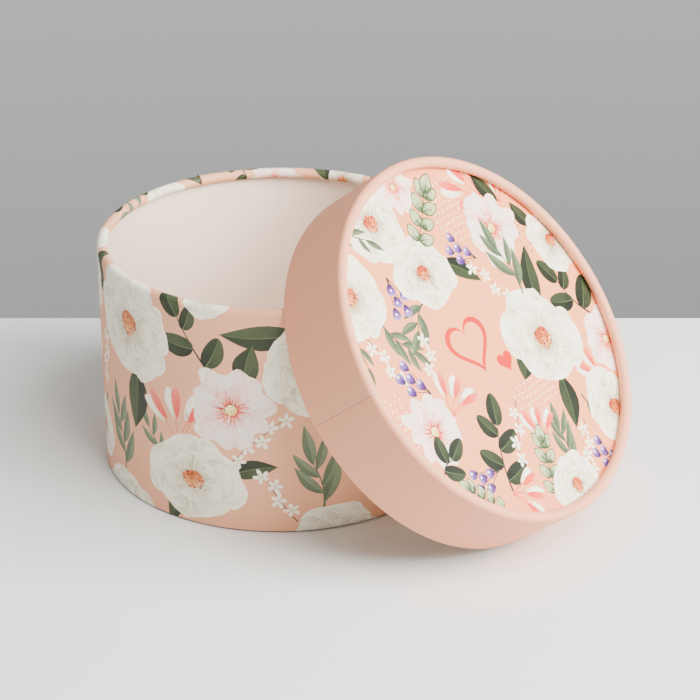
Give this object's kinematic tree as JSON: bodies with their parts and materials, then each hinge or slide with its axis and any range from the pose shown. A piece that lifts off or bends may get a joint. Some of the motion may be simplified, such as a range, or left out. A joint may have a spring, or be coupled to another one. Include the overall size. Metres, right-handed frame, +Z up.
{
  "type": "flower box",
  "caption": "Round rigid paper-covered gift box for flowers, with rolled edges and a slip-over lid that leans on the box and lifts off.",
  "frame": {"origin": "centre of the underside of the box, on the surface that it stands on", "axes": "+Z up along the axis of the box, +X towards the side on which the lid leans, +Y to the left of it"},
  "size_m": [0.2725, 0.1848, 0.1688],
  "materials": {
    "grey_board": "matte",
    "printed_paper": "satin",
    "plain_paper": "satin",
    "liner_paper": "matte"
  },
  "bodies": {
    "box": {"box_wall": "grey_board", "box_wrap": "printed_paper", "box_liner": "liner_paper", "base_disc": "grey_board", "base_liner": "liner_paper", "base_cover": "liner_paper"},
    "lid": {"lid_wall": "grey_board", "lid_wrap": "plain_paper", "lid_liner": "liner_paper", "lid_disc": "grey_board", "lid_print": "printed_paper", "lid_ceiling": "liner_paper"}
  },
  "joints": [
    {"name": "lid_lift", "type": "slide", "parent": "box", "child": "lid", "axis": [0, 0, 1], "range_m": [0, 0.15]}
  ]
}
